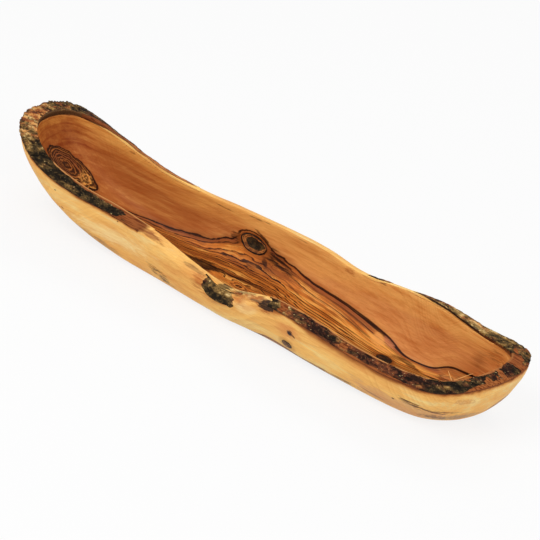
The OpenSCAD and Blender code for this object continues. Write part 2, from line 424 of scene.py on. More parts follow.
wood = dict(
    columnsHalf=320, outerRows=52, rimRows=12, innerRows=52, capRows=13,
    softPasses=3, softRows=4, softShare=0.6,
    # the knife's long and short hollows, and how deep the sockets are, in mm
    hollows=(0.32, 0.14), socket=1.4,
    # what counts as far from bark and from knots
    farBark=40.0, farKnot=60.0,
)


def closeUp(ring, rows):
    # rows that run from a ring in to its long middle line
    partner = ring[(-np.arange(len(ring))) % len(ring)]
    middle = (ring + partner) / 2
    steps = np.arange(1, rows + 1) / rows
    return [mix(ring, middle, s) for s in steps]


def carvedBody():
    fine, run = alongRim(0, 180, 4000)
    half = np.interp(np.linspace(0, run[-1], wood["columnsHalf"] + 1), run, fine)
    angles = np.r_[half, 360 - half[1:-1][::-1]]
    count = len(angles)

    def ring(function, share):
        return function(angles, np.full(count, share))

    outer = [ring(outerWall, v) for v in np.linspace(0, 1, wood["outerRows"]) ** 0.9]
    rim = [ring(rimWood, w) for w in np.linspace(0, 1, wood["rimRows"])[1:-1]]
    inner = [ring(innerWall, v) for v in np.linspace(1, 0, wood["innerRows"]) ** 1.1]
    walls = np.array(outer + rim + inner)
    place = np.zeros(walls.shape[:2])  # 0 on the outside, 1 on the rim, 2 in the hollow
    place[len(outer):len(outer) + len(rim)] = 1
    place[len(outer) + len(rim):] = 2
    # soft arrises, where the rim meets the walls
    softened = walls.copy()
    for _ in range(wood["softPasses"]):
        before, after = np.roll(softened, 1, 0), np.roll(softened, -1, 0)
        gapA = np.linalg.norm(before - softened, axis=-1, keepdims=True) + 1e-6
        gapB = np.linalg.norm(after - softened, axis=-1, keepdims=True) + 1e-6
        middle = (before * gapB + after * gapA) / (gapA + gapB)
        pull = np.zeros(walls.shape[:2] + (1,))
        for corner in (len(outer) - 1, len(outer) + len(rim)):
            near = np.clip(1 - np.abs(np.arange(len(walls)) - corner) / wood["softRows"], 0, 1)
            pull[:, :, 0] = np.maximum(pull[:, :, 0], (wood["softShare"] * near)[:, None])
        softened = mix(softened, middle, pull)
    walls = softened
    foot = closeUp(walls[0], wood["capRows"])[::-1]
    floor = closeUp(walls[-1], wood["capRows"])
    rings = np.concatenate([foot, walls, floor])
    rows = len(rings)
    place = np.concatenate([np.full((len(foot), count), -1), place, np.full((len(floor), count), 3)])
    points = rings.reshape(-1, 3)

    # hand-carved unevenness, none on the foot
    along = np.roll(rings, -1, 1) - np.roll(rings, 1, 1)
    up = np.zeros_like(rings)
    up[1:-1] = rings[2:] - rings[:-2]
    up[0], up[-1] = up[1], up[-2]
    normal = unit(np.cross(along, up) + 1e-9)
    normal[place == 3] = (0, 0, 1)
    normal[place == -1] = (0, 0, -1)
    normal = normal.reshape(-1, 3)
    slow, quick = wood["hollows"]
    lift = slow * waves(points, (45, 16, 16)) + quick * waves(points + 30, (17, 9, 9))
    lift = lift * smoothStep(0, 6, points[:, 2]) * (place.reshape(-1) >= 0)
    for name, knot in knots.items():
        far = knotFar(name, points)
        lift = lift - wood["socket"] * smoothStep(knot["radius"] - 0.4, knot["radius"] - 1.8, far)
    points = points + normal * lift[:, None]

    faces = gridFaces(rows, count, True)
    data = dict(ringsAt(points), place=place.reshape(-1))
    # millimetres down the wall from the bark, for the stain below it
    edgeOut = naturalEdge(angles, 0 * angles)
    edgeIn = naturalEdge(angles, 0 * angles + 1)
    # none under the patch in the dip, and on the hollow's side none along the back
    plates = [name for name in barkPlates if name != "bark_front_middle"]
    coverOut = np.max([plateDepth(name, angles) for name in plates], axis=0)
    coverIn = np.max([plateDepth(name, angles) for name in plates if "back" not in name], axis=0)
    coverBack = np.max([plateDepth(name, angles) for name in plates if "back" in name], axis=0)
    cover = np.where(place < 1.5, coverOut[None], coverIn[None])
    edge = np.where((place < 1.5)[..., None], edgeOut[None], edgeIn[None])
    fromRim = np.linalg.norm(rings - edge, axis=-1)
    data["fromRim"] = fromRim.reshape(-1)
    below = np.where(cover > 0.35, fromRim - cover * 0.7, wood["farBark"])
    thin = (place >= 1.5) & (coverBack > 0.8)[None]
    thinBelow = fromRim * 3 + 0.8 - coverBack[None] * 1.4 + 8 * smoothStep(1.7, 0.8, coverBack)[None]
    below = np.where(thin & (cover < 0.35), thinBelow, below)
    data["belowBark"] = below.reshape(-1)
    shares = np.linspace(0, 1, wood["rimRows"])[1:-1]
    acrossRim = np.where(place < 1, 0.0, 1.0)
    acrossRim[place == 1] = np.repeat(shares, count)
    data["acrossRim"] = acrossRim.reshape(-1)
    nearest = np.full(len(points), wood["farKnot"])
    ringed = np.zeros(len(points))
    above = np.zeros(len(points))
    for name, knot in knots.items():
        far = knotFar(name, points) - knot["radius"]
        ringed = np.where(far < nearest, knot["ring"], ringed)
        above = np.where(far < nearest, (points[:, 2] - knotFrame(name)[0][2]) / knot["radius"], above)
        nearest = np.minimum(nearest, far)
    data.update(knotNear=nearest, knotRing=ringed, knotAbove=above * (ringed == 1))
    body = newMesh("bowlBody", points, faces, data)
    unroll(body, count)
    return body


def unroll(piece, columns):
    # a map for baking: along the bowl across, and round its girth up
    mesh = piece.data
    loops = np.empty(len(mesh.loops), np.int32)
    mesh.loops.foreach_get("vertex_index", loops)
    row, column = loops // columns, loops % columns
    rows = len(mesh.vertices) // columns
    starts = np.empty(len(mesh.polygons), np.int32)
    mesh.polygons.foreach_get("loop_start", starts)
    face = np.repeat(np.arange(len(starts)), np.diff(np.r_[starts, len(loops)]))
    seam = np.zeros(len(starts), bool)
    np.logical_or.at(seam, face, column == columns - 1)
    column = np.where(seam[face] & (column == 0), columns, column)
    spots = np.stack([column / columns, row / (rows - 1)], 1)
    mesh.uv_layers.new(name="OFBake").data.foreach_set("uv", spots.reshape(-1).astype(np.float32))


body = carvedBody()
pressed(body, "bowl_body")
print("carved body:", len(body.data.polygons), "faces")


# materials

def linear(red, green, blue):
    def one(c):
        c = c / 255
        return c / 12.92 if c <= 0.04045 else ((c + 0.055) / 1.055) ** 2.4
    return (one(red), one(green), one(blue), 1)


class Nodes:
    # short ways to add and join shader nodes
    def __init__(self, name):
        self.material = bpy.data.materials.new(name)
        self.material.use_nodes = True
        self.tree = self.material.node_tree
        self.tree.nodes.clear()
        self.out = self.add("ShaderNodeOutputMaterial")
        self.shader = self.add("ShaderNodeBsdfPrincipled")
        self.join(self.shader.outputs[0], self.out.inputs[0])

    def add(self, kind, **settings):
        node = self.tree.nodes.new(kind)
        for key, value in settings.items():
            setattr(node, key, value)
        return node

    def join(self, source, socket):
        if isinstance(source, bpy.types.NodeSocket):
            self.tree.links.new(source, socket)
        elif isinstance(source, tuple):
            socket.default_value = linear(*source)
        else:
            socket.default_value = source

    def attribute(self, name):
        return self.add("ShaderNodeAttribute", attribute_name=name).outputs["Fac"]

    def place(self):
        return self.add("ShaderNodeTexCoord").outputs["Object"]

    def math(self, operation, a, b=0.0, c=0.0):
        node = self.add("ShaderNodeMath", operation=operation)
        for socket, value in zip(node.inputs, (a, b, c)):
            self.join(value, socket)
        return node.outputs[0]

    def times(self, a, b):
        return self.math("MULTIPLY", a, b)

    def plus(self, a, b):
        return self.math("ADD", a, b)

    def minus(self, a, b):
        return self.math("SUBTRACT", a, b)

    def gap(self, a, b):
        return self.math("ABSOLUTE", self.minus(a, b))

    def shaken(self, value, noise, amount):
        return self.plus(value, self.times(self.minus(noise, 0.5), amount))

    def ease(self, value, low, high, first, last):
        # softly from first at low to last at high
        node = self.add("ShaderNodeMapRange", interpolation_type="SMOOTHSTEP")
        for socket, v in zip(node.inputs, (value, low, high, first, last)):
            self.join(v, socket)
        return node.outputs[0]

    def step(self, value, low, high, share=1.0):
        return self.ease(value, low, high, 0.0, share)

    def scaled(self, vector, size):
        # coordinates in metres to hills of the given size in millimetres
        node = self.add("ShaderNodeMapping")
        self.join(vector, node.inputs["Vector"])
        node.inputs["Scale"].default_value = tuple(1000 / s for s in size)
        return node.outputs[0]

    def noise(self, vector, size=None, detail=2, rough=0.5, distort=0):
        place = self.scaled(vector, size) if size else vector
        node = self.add("ShaderNodeTexNoise")
        self.join(place, node.inputs["Vector"])
        for key, value in dict(Scale=1, Detail=detail, Roughness=rough, Distortion=distort).items():
            node.inputs[key].default_value = value
        return node.outputs[0]

    def bands(self, a, scaleA, b, scaleB, detail=2, rough=0.5):
        # noise over two values, drawn out along the second
        a, b = self.times(a, scaleA), self.times(b, scaleB)
        node = self.add("ShaderNodeCombineXYZ")
        self.join(a, node.inputs[0])
        self.join(b, node.inputs[1])
        return self.noise(node.outputs[0], None, detail, rough)

    def ramp(self, value, stops):
        node = self.add("ShaderNodeValToRGB")
        self.join(value, node.inputs[0])
        ramp = node.color_ramp
        ramp.interpolation = "LINEAR" if len(stops) > 4 else "EASE"
        while len(ramp.elements) < len(stops):
            ramp.elements.new(0.5)
        for element, (at, colour) in zip(ramp.elements, stops):
            element.position = at
            element.color = linear(*colour)
        return node.outputs[0]

    def blend(self, share, a, b, kind="MIX"):
        node = self.add("ShaderNodeMix", data_type="RGBA", blend_type=kind)
        self.join(share, node.inputs["Factor"])
        self.join(a, node.inputs[6])
        self.join(b, node.inputs[7])
        return node.outputs[2]

    def darker(self, share, colour, by):
        return self.blend(share, colour, self.blend(1.0, colour, by, "MULTIPLY"))

    def bump(self, height, distance, strength):
        node = self.add("ShaderNodeBump")
        self.join(height, node.inputs["Height"])
        node.inputs["Distance"].default_value = distance
        node.inputs["Strength"].default_value = strength
        return node.outputs[0]

    def surface(self, colour, roughness, gloss, normal):
        self.join(colour, self.shader.inputs["Base Color"])
        self.join(roughness, self.shader.inputs["Roughness"])
        self.shader.inputs["Specular IOR Level"].default_value = gloss
        self.join(normal, self.shader.inputs["Normal"])
        return self.material


woodLook = dict(
    heartBrown=(164, 90, 36), heartTan=(216, 128, 50), heartGold=(246, 174, 84),
    heartLine=(44, 20, 8), heartShade=(118, 56, 20), heartMauve=(158, 88, 50),
    heartFine=(84, 38, 14),
    almond=[(134, 74, 34), (168, 100, 48), (142, 78, 42), (184, 112, 52), (150, 84, 36)],
    # the almond's own lines: how far out and how wide, as shares of its reach
    almondLines=[(0, .1), (.18, .04), (.29, .05), (.4, .035), (.5, .05), (.63, .04), (.73, .055),
                 (.85, .05), (.97, .07)],
    leftWall=[(242, 176, 90), (212, 140, 70), (188, 114, 56)],
    rightWall=[(246, 184, 102), (240, 174, 96), (226, 156, 90)],
    outerHoney=(253, 201, 114), outerAmber=(240, 174, 94), outerCream=(255, 226, 152),
    outerHeart=(214, 164, 120), outerLine=(112, 76, 60), rimStripAndHighlight=(244, 208, 146),
    stain=(136, 70, 30), stainEdge=(206, 132, 64), innerBark=(84, 42, 20),
    # these only darken or lighten what lies below
    grainShade=(216, 164, 124), lateShade=(205, 150, 110), fibreShade=(205, 165, 130),
    satinShade=(214, 172, 132), satinLight=(250, 190, 104), tipShade=(206, 176, 146),
    arcShade=(196, 140, 100),
)


def mark(at, reach, colour, strength, streaks=0.3, slope=0, turn=0, core=0.6):
    # middle and reach in mm, how strong and how streaky, its slope and turn in degrees, and its solid core
    return dict(at=at, reach=reach, colour=colour, strength=strength, streaks=streaks, core=core,
                tilt=[math.radians(v) for v in (0, slope, turn)])


# stains, inclusions and pin knots, with some painted shade low on the right end
woodMarks = [
    # in the hollow
    mark((-50, 3, 9), (22, 6, 6), (22, 11, 6), 0.97, turn=6, core=0.8),
    mark((-17, 7, 9), (20, 1.3, 6), (34, 16, 8), 0.95, 0.2, turn=8),
    mark((10, 8.5, 9), (18, 0.9, 6), (50, 26, 14), 0.8, 0.2, turn=4),
    mark((-1, 33, 24), (18, 7, 6), (52, 26, 13), 0.7, 0.9, slope=22),
    mark((4, 32, 19.3), (15, 5, 1.5), (40, 20, 9), 0.9, slope=7),
    mark((-6, 30, 17), (6.5, 5, 2), (40, 20, 9), 0.85, slope=48),
    mark((6, 33, 22.5), (12, 5, 1), (34, 16, 8), 0.9, 0.1, slope=10),
    mark((-17, 25, 12.5), (9, 4, 2), (60, 30, 14), 0.7, 0.6, slope=10),
    mark((-36, 32, 27), (6, 4, 4), (50, 26, 14), 0.9, 0.7, slope=10),
    mark((-14, 35.5, 34), (10, 4, 1.6), (40, 20, 10), 0.9, 0.1, slope=28),
    mark((121, -2, 9), (10, 4.6, 4), (36, 18, 10), 0.95, 0.35),
    mark((106.5, 14, 10.5), (8, 4.5, 5), (240, 170, 92), 0.85, turn=-25),
    mark((117, 15.5, 12.5), (7, 4, 4), (204, 130, 88), 0.7, turn=-20),
    mark((115, 7.5, 9), (8, 2, 3), (236, 162, 86), 0.85, 0.2, turn=5),
    mark((138, 5.6, 9.2), (13, 2.6, 4), (62, 36, 20), 0.85, 0.35, turn=-14),
    mark((169, 5.5, 12), (14, 4, 4.5), (120, 64, 30), 0.85, 0.5),
    mark((158, 4, 9.5), (8, 1.0, 4), (222, 146, 74), 0.85, 0.1, turn=5),
    mark((163, 2.2, 9.5), (11, 0.7, 4), (48, 26, 14), 0.85, 0.1, turn=4),
    mark((172, 7.5, 12.5), (7, 0.8, 5), (206, 128, 62), 0.8, 0.1, turn=2),
    mark((128, 5.5, 9), (7, 3, 4), (112, 68, 30), 0.7),
    mark((-184, 3, 38), (6, 5, 5), (56, 30, 14), 0.5, 0.7, slope=30),
    mark((-168, 13, 29), (7, 6, 6), (236, 166, 84), 0.8, 0.9, slope=30),
    mark((170, 10, 16), (19, 5, 6), (208, 146, 82), 0.5, 0.6),
    mark((188, 15, 33), (8, 6, 11), (136, 80, 38), 0.55, 0.2, core=0),
    mark((199, 16.5, 42), (9, 6, 12), (150, 88, 42), 0.6, 0.9, slope=-60, core=0.2),
    mark((-52, 35, 45.5), (10, 4, 1.0), (132, 78, 38), 0.8, 0.8, slope=3),
    mark((-21, 37, 48), (11, 4, 0.9), (138, 92, 48), 0.75, 0.8),
    mark((16, 38, 47), (8, 4, 0.8), (138, 92, 48), 0.7, 0.8),
    mark((64, 32, 44), (6, 5, 3), (176, 100, 46), 0.65, 0.6),
    mark((91, 28.5, 50.5), (8, 5, 1.6), (128, 84, 46), 0.8, 0.7),
    mark((-141, 34, 56), (4, 4, 1.2), (150, 96, 48), 0.7, 0.7),
    # on the outside, from the left
    mark((-126, -31, 11), (24, 9, 5), (150, 124, 90), 0.7, 0.8, slope=10),
    mark((-62, -37, 12.5), (14, 8, 5), (64, 44, 34), 0.85, 0.9, slope=22),
    mark((-79, -38, 45.4), (21, 5, 2.8), (146, 80, 38), 0.9, 0.35, slope=10, core=0.5),
    mark((-159, -33, 27), (2, 3, 1.2), (150, 86, 40), 0.8, 0),
    mark((-30, -43, 35), (17, 5, 5), (218, 142, 78), 0.6, 0.5, slope=12, core=0.2),
    mark((-24, -45, 30), (9, 5, 8), (176, 94, 42), 0.85, core=0.3),
    mark((-8, -47, 24), (20, 6, 7), (196, 114, 52), 0.8, 0.4, slope=-8, core=0.3),
    mark((-110, -38, 24), (46, 12, 9), (255, 228, 164), 0.85, slope=-3, core=0.2),
    mark((-4, -42.4, 34.2), (7.5, 3, 2.4), (62, 48, 34), 0.95, slope=-8, core=0.8),
    mark((7, -44, 33.5), (7, 5, 5), (190, 106, 48), 0.85, core=0.3),
    mark((8, -43.5, 34), (3.6, 4, 2), (56, 36, 22), 0.9, 0.5, slope=-30),
    mark((-32, -42, 36), (12, 1.4, 3), (112, 84, 52), 0.6, 0.4, slope=14),
    mark((14, -42, 37.2), (14, 1.5, 3), (120, 100, 66), 0.75, 0.5, slope=-14),
    mark((17, -46, 28), (11, 6, 6), (255, 222, 156), 0.65),
    mark((20, -46.5, 29.5), (5, 4, 3), (232, 164, 92), 0.6, 0.5, slope=-20),
    mark((11, -46, 31), (8, 5, 4.5), (194, 116, 56), 0.85, core=0.3),
    mark((36, -47, 36), (17, 5, 5), (206, 128, 62), 0.8, 0.4, slope=-6, core=0.3),
    mark((28, -44, 39), (10, 4, 4), (150, 80, 38), 0.85, slope=-14),
    mark((84, -43, 6.5), (13, 6, 1.3), (84, 58, 44), 0.85, 0.4, slope=-2),
    mark((106, -45, 7.5), (11, 6, 1.2), (84, 58, 44), 0.85, 0.4, slope=-2),
    mark((134, -48, 10.5), (13, 6, 1.2), (96, 66, 50), 0.85, 0.4, slope=3),
    mark((19, -44, 37), (12, 4, 3), (188, 112, 54), 0.8, 0.4, slope=-14),
    mark((35, -46.5, 38.5), (9.5, 5, 6), (168, 92, 42), 0.85, slope=-10),
    mark((34.5, -46.5, 39), (7.5, 5, 4.6), (52, 38, 28), 0.97, 0.1, slope=-10, core=0.85),
    mark((25, -44.5, 38), (6, 3, 0.7), (110, 90, 62), 0.8, 0.2, slope=-16),
    mark((57, -47, 27), (12, 6, 8), (224, 146, 84), 0.6),
    mark((60.5, -48, 25.6), (4, 4, 0.8), (40, 22, 12), 0.95, 0, slope=32),
    mark((90, -41, 5), (42, 9, 2.6), (146, 112, 84), 0.6, 0.8, slope=-2),
    mark((160, -48, 13), (50, 18, 9), (210, 158, 118), 0.65),
    mark((163, -52, 21), (11, 8, 2.6), (112, 80, 62), 0.9, 0.75, slope=6),
    mark((163, -52, 22.6), (11, 8, 0.8), (80, 54, 40), 0.9, 0.1, slope=0),
    mark((180, -48, 19.4), (20, 9, 1.1), (96, 66, 50), 0.9, slope=7),
    mark((190, -42, 20.6), (16, 9, 0.9), (104, 70, 52), 0.8, slope=0),
    # grey low on the right end, this one and the next: painted shade near the bottom edge, in streaks
    mark((181, -42, 12), (13, 9, 3.4), (116, 90, 76), 0.85, 0.7),
    mark((196, -36, 12), (15, 14, 4), (150, 124, 98), 0.7, 0.4, slope=-12),
    mark((150.4, -51.4, 18), (1.4, 3, 0.9), (60, 40, 30), 0.9, 0),
    # grey under the right tip: painted shade near the bottom edge
    mark((200, -27, 14), (18, 15, 5), (168, 144, 116), 0.6, 0.6),
    mark((199, -38, 34.5), (9, 9, 3), (206, 138, 80), 0.6, 0.4),
    mark((-166.7, -36, 41), (1, 3, 0.7), (90, 50, 24), 0.9, 0),
    mark((-162, -32, 26), (1.2, 3, 0.9), (110, 66, 34), 0.9, 0),
    mark((-107, -37, 41), (0.8, 3, 0.7), (90, 50, 24), 0.9, 0),
    mark((147, -55, 37), (1.0, 3, 0.8), (80, 46, 24), 0.9, 0),
]


def sapTones(n, place):
    # honey and cream, with amber grain
    streak = n.noise(place, (46, 1.8, 1.8), 4, 0.6)
    cloud = n.noise(place, (60, 12, 12), 3, 0.55)
    tone = n.plus(n.times(cloud, 0.6), n.times(streak, 0.4))
    stops = zip((0.36, 0.5, 0.64), (woodLook[k] for k in ("outerAmber", "outerHoney", "outerCream")))
    return streak, cloud, n.ramp(tone, list(stops))


def stainedAndShaded(n, place, colour, marks):
    ragged = n.minus(n.noise(place, (12, 2.4, 2.4), 4, 0.65), 0.5)
    streaky = n.step(n.noise(place, (16, 1.0, 1.0), 3, 0.6), 0.42, 0.58)
    for spot in marks:
        near = n.add("ShaderNodeMapping", vector_type="TEXTURE")
        n.join(place, near.inputs["Vector"])
        near.inputs["Location"].default_value = [v * mm for v in spot["at"]]
        near.inputs["Rotation"].default_value = spot["tilt"]
        near.inputs["Scale"].default_value = [v * mm * 3 for v in spot["reach"]]
        # falls from 1 in its middle to 0 at three times its reach
        ball = n.add("ShaderNodeTexGradient", gradient_type="SPHERICAL")
        n.join(near.outputs[0], ball.inputs["Vector"])
        inside = n.math("MULTIPLY_ADD", ragged, -0.6, ball.outputs["Fac"])
        share = n.step(inside, 1 - 1.1 / 3, 1 - spot["core"] / 3, spot["strength"])
        if spot["streaks"]:
            share = n.times(share, n.math("MULTIPLY_ADD", streaky, spot["streaks"], 1 - spot["streaks"]))
        colour = n.blend(share, colour, spot["colour"])
    return colour


def carvedWood():
    n = Nodes("oiledFiguredWood")
    look = woodLook
    place = n.place()
    level = n.attribute("rings")
    split = n.add("ShaderNodeSeparateXYZ")
    n.join(place, split.inputs[0])
    x = n.times(split.outputs[0], 1000)
    y = n.times(split.outputs[1], 1000)
    # rings wander a little from one to the next and along the grain
    tiny = n.minus(n.noise(place, (7, 1.8, 1.8)), 0.5)
    rippling = n.ease(x, 5, 60, 0.5, 0.1)
    warped = n.plus(level, n.times(tiny, rippling))
    uneven = n.bands(warped, 0.85, x, 0.004)
    # counted from the heart's edge, and wider apart right of the middle
    packing = n.plus(n.ease(x, 5, 50, 1.7, 1.1), n.step(x, 60, 118, 0.3))
    count = n.times(n.minus(warped, figure["heartRings"]), packing)
    count = n.plus(count, n.times(uneven, 1.8))
    phase = n.math("FRACT", count)
    which = n.math("FLOOR", count)
    white = n.add("ShaderNodeTexWhiteNoise", noise_dimensions="1D")
    n.join(which, white.inputs["W"])
    luck = white.outputs["Value"]
    fading = n.bands(which, 7.3, x, 0.02)
    weight = n.step(n.plus(n.times(luck, 0.6), n.times(fading, 0.9)), 0.3, 0.85)
    # each ring darkens slowly outwards, then ends in a crisp line, wider to the right
    spacing = n.math("DIVIDE", n.attribute("perRing"), packing)
    wide = n.times(n.ease(luck, 0, 1, 0.7, 1.7), n.ease(x, 0, 50, 0.9, 1.4))
    share = n.math("MINIMUM", n.math("DIVIDE", wide, spacing), 0.34)
    start = n.minus(0.97, share)
    crisp = n.times(n.step(phase, start, n.plus(start, n.times(share, 0.4))), n.step(phase, 1.0, 0.98))
    late = n.step(phase, n.minus(1, n.math("DIVIDE", 3.4, spacing)), 1.02)
    late = n.times(n.math("POWER", late, 1.5), weight)
    fine = n.bands(warped, 2.8, x, 0.012)
    fineLines = n.step(n.gap(fine, 0.5), 0.05, 0.015)

    zones = n.bands(warped, 0.8, x, 0.02, 3, 0.6)
    zones = n.plus(zones, n.ease(x, -20, 110, -0.05, 0.1))
    heart = n.ramp(zones, [(0.36, look["heartBrown"]), (0.5, look["heartTan"]), (0.63, look["heartGold"])])
    heart = n.blend(n.times(late, 0.6), heart, look["heartShade"])
    heart = n.blend(n.times(fineLines, n.ease(fading, 0.4, 0.6, 0.15, 0.6)), heart, look["heartFine"])
    # mauve beside the heart's edge, and to the left a second dark line
    fromEdge = n.minus(n.attribute("fromEdge"), n.times(tiny, n.times(rippling, 2.4)))
    mauve = n.times(n.step(fromEdge, 5, 2), n.ease(fading, 0.35, 0.6, 0.3, 0.8))
    heart = n.blend(mauve, heart, look["heartMauve"])
    dark = n.times(crisp, weight)
    heart = n.blend(n.times(dark, 0.97), heart, look["heartLine"])
    second = n.step(n.gap(fromEdge, 3.2), 0.6, 0.2, 0.85)
    heart = n.blend(n.times(second, n.step(x, 40, -20)), heart, look["heartLine"])
    # the almond's lines crowd at its edge and round its core
    share = n.plus(n.attribute("almond"), n.times(tiny, 0.14))
    figured = n.shaken(share, fading, 0.5)
    figured = n.ramp(figured, list(zip((0.1, 0.35, 0.6, 0.8, 1), look["almond"])))
    netted = n.step(n.noise(place, (9, 2, 2), 3, 0.6, 0.6), 0.5, 0.58)
    figured = n.blend(n.times(netted, n.step(x, -180, -165)), figured, look["heartGold"])
    for at, wide in look["almondLines"]:
        drawn = n.step(n.gap(share, at), wide, wide * 0.5, 0.92)
        figured = n.blend(drawn, figured, look["heartLine"])
    heart = n.blend(n.step(n.attribute("almond"), 1.2, 1.1), heart, figured)

    # the hollow's walls: honey near the rim, redder and darker low down and to the left, partly the wood's
    # own tone and partly painted shade and painted warm bounce light deep in the hollow
    streak, cloud, outside = sapTones(n, place)
    fromRim = n.attribute("fromRim")
    deep = n.step(n.shaken(fromRim, cloud, 26), 0, 34)
    walls = [n.ramp(deep, list(zip((0.0, 0.32, 0.8), look[side]))) for side in ("leftWall", "rightWall")]
    inside = n.blend(n.step(x, -90, 10), *walls)
    satin = n.noise(place, (60, 6, 6), 4, 0.6)
    inside = n.darker(n.step(satin, 0.46, 0.68, 0.5), inside, look["satinShade"])
    inside = n.blend(n.step(satin, 0.48, 0.34, 0.22), inside, look["satinLight"])
    inside = n.darker(n.step(x, -180, -202, 0.75), inside, look["tipShade"])
    # soft arcs where the ends are cut across the grain
    arcs = n.bands(fromRim, 0.3, y, 0.015, 3, 0.6)
    ends = n.step(n.gap(x, 5), 150, 195, 0.55)
    inside = n.darker(n.times(ends, n.step(arcs, 0.45, 0.62)), inside, look["arcShade"])
    inHollow = n.step(n.attribute("place"), 1.3, 1.9)
    sap = n.blend(inHollow, outside, inside)
    sap = n.darker(n.step(streak, 0.44, 0.7, 0.26), sap, woodLook["grainShade"])
    sap = n.darker(n.times(late, 0.22), sap, look["lateShade"])
    # a pale strip along the front rim's inner arris, partly pale cut wood and partly a painted highlight
    strip = n.times(n.step(n.attribute("acrossRim"), 0.72, 0.86), n.step(y, 0, -10))
    strip = n.times(strip, n.step(fromRim, 1.6, 0.9))
    sap = n.blend(n.times(strip, 0.8), sap, look["rimStripAndHighlight"])

    # heartwood shows paler on the outside
    outerHeart = n.blend(n.times(late, 0.3), look["outerHeart"], look["outerLine"])
    outerHeart = n.blend(n.times(dark, 0.8), outerHeart, look["outerLine"])
    heart = n.blend(n.step(n.attribute("place"), 0.3, 1.0), outerHeart, heart)
    inHeart = n.step(fromEdge, -0.15, 0.15)
    edgeLine = n.times(n.step(fromEdge, 1.25, 0.75), n.step(fromEdge, -0.3, 0.1))
    halo = n.times(n.step(fromEdge, -2.6, 0, 0.55), n.ease(x, 70, -20, 0.4, 1.0))
    sap = n.blend(n.times(halo, inHollow), sap, look["stain"])
    colour = stainedAndShaded(n, place, n.blend(inHeart, sap, heart), woodMarks)
    edge = n.times(edgeLine, n.ease(n.attribute("place"), 0.3, 1.0, 0.5, 0.95))
    colour = n.blend(edge, colour, look["heartLine"])

    # fibres and pores along the grain
    fibre = n.noise(place, (16, 0.5, 0.5), 3, 0.65)
    colour = n.darker(n.step(fibre, 0.35, 0.75, 0.3), colour, look["fibreShade"])

    # stain and inner bark under the bark
    below = n.shaken(n.attribute("belowBark"), n.noise(place, (16, 5, 5), 3, 0.6), 5)
    # wide to the right of the dip, but hardly there above the two front knots
    wider = n.minus(n.ease(x, -20, 30, 3.6, 9), n.step(x, 140, 160, 4))
    wider = n.minus(wider, n.step(n.gap(x, 57), 20, 7, 5.5))
    colour = n.blend(n.step(below, wider, 1.5, 0.85), colour, look["stainEdge"])
    colour = n.blend(n.step(below, n.times(wider, 0.6), 0.6, 0.85), colour, look["stain"])
    colour = n.blend(n.step(below, 1.1, 0.3, 0.9), colour, look["innerBark"])

    # thin dark rings round each knot
    beside = n.shaken(n.attribute("knotNear"), n.noise(place, (4, 3, 3)), 1.8)
    ringed = n.attribute("knotRing")
    colour = n.blend(n.times(n.step(beside, 4.5, 1.5, 0.6), ringed), colour, look["heartBrown"])
    brow = n.step(n.gap(beside, 2.6), 0.9, 0.4)
    brow = n.times(brow, n.step(n.attribute("knotAbove"), 0.1, 0.6, 0.9))
    colour = n.blend(brow, colour, look["heartLine"])
    around = n.times(n.step(beside, 0.8, 0.3), ringed)
    colour = n.blend(n.times(around, 0.95), colour, look["heartLine"])

    shine = n.ease(n.noise(place, (9, 2, 2), 3, 0.6), 0.3, 0.7, 0.42, 0.56)
    grain = n.plus(n.times(fibre, 0.6), n.times(streak, 0.4))
    return n.surface(colour, shine, 0.1, n.bump(grain, 0.00012, 0.8))


body.data.materials.append(carvedWood())
print("carved wood: figured material on the body")


# bark

def barkLook(crust, light, warm, cut, rough, long, bare=(1.3, 1.3), arris=0, overhang=0, cover=(2, 2),
             begin=(-1, -1), reach=(0, 1), hang=(0, 0), draw=3.5, woodEnds=True):
    # at even steps along the plate: how far in the crust reaches, how light and how warm it is, how light
    # the smooth strip beside it is, where that gives way to wood, how closely crust covers the plate and
    # where it begins; for the whole plate: how rough and how long its scales are, how the strip's inner
    # arris shows, how far it stands out, its reach across the rim, how far it hangs down outside, how its
    # free ends are drawn out, and whether they show wood
    return dict(crust=crust, light=light, warm=warm, cut=cut, rough=rough, long=long, bare=bare,
                arris=arris, overhang=overhang, cover=cover, begin=begin, reach=reach, hang=hang, draw=draw,
                woodEnds=woodEnds)


